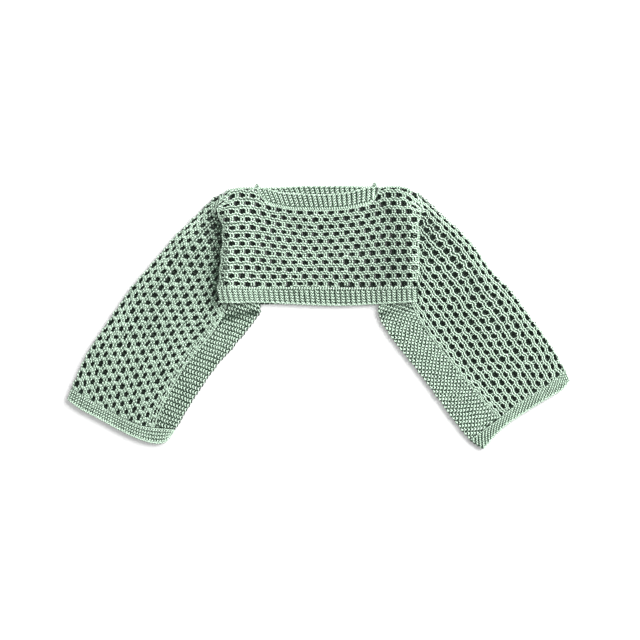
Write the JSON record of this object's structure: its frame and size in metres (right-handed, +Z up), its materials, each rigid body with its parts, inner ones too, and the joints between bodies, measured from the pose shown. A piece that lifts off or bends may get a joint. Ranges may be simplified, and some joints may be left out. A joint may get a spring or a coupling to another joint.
{
  "type": "knitted shrug",
  "caption": "Cropped open-net knitted shrug with wide sleeves, garter underarm strips and ribbed bands, laid flat.",
  "frame": {"origin": "middle of the garment's outline, on the surface it lies on", "axes": "+X to the sleeve on the right as seen from above, +Y towards the neck, +Z up off the surface"},
  "size_m": [1.1094, 0.581, 0.0252],
  "materials": {
    "net_knit": "matte",
    "band_knit": "matte"
  },
  "bodies": {
    "root": {"front": "net_knit", "back": "net_knit", "sleeve_left": "net_knit", "sleeve_right": "net_knit", "gusset_left": "net_knit", "gusset_right": "net_knit", "cuff_left": "band_knit", "cuff_right": "band_knit", "hem_front": "band_knit", "hem_back": "band_knit", "neck_front": "band_knit", "neck_back": "band_knit"}
  },
  "joints": []
}
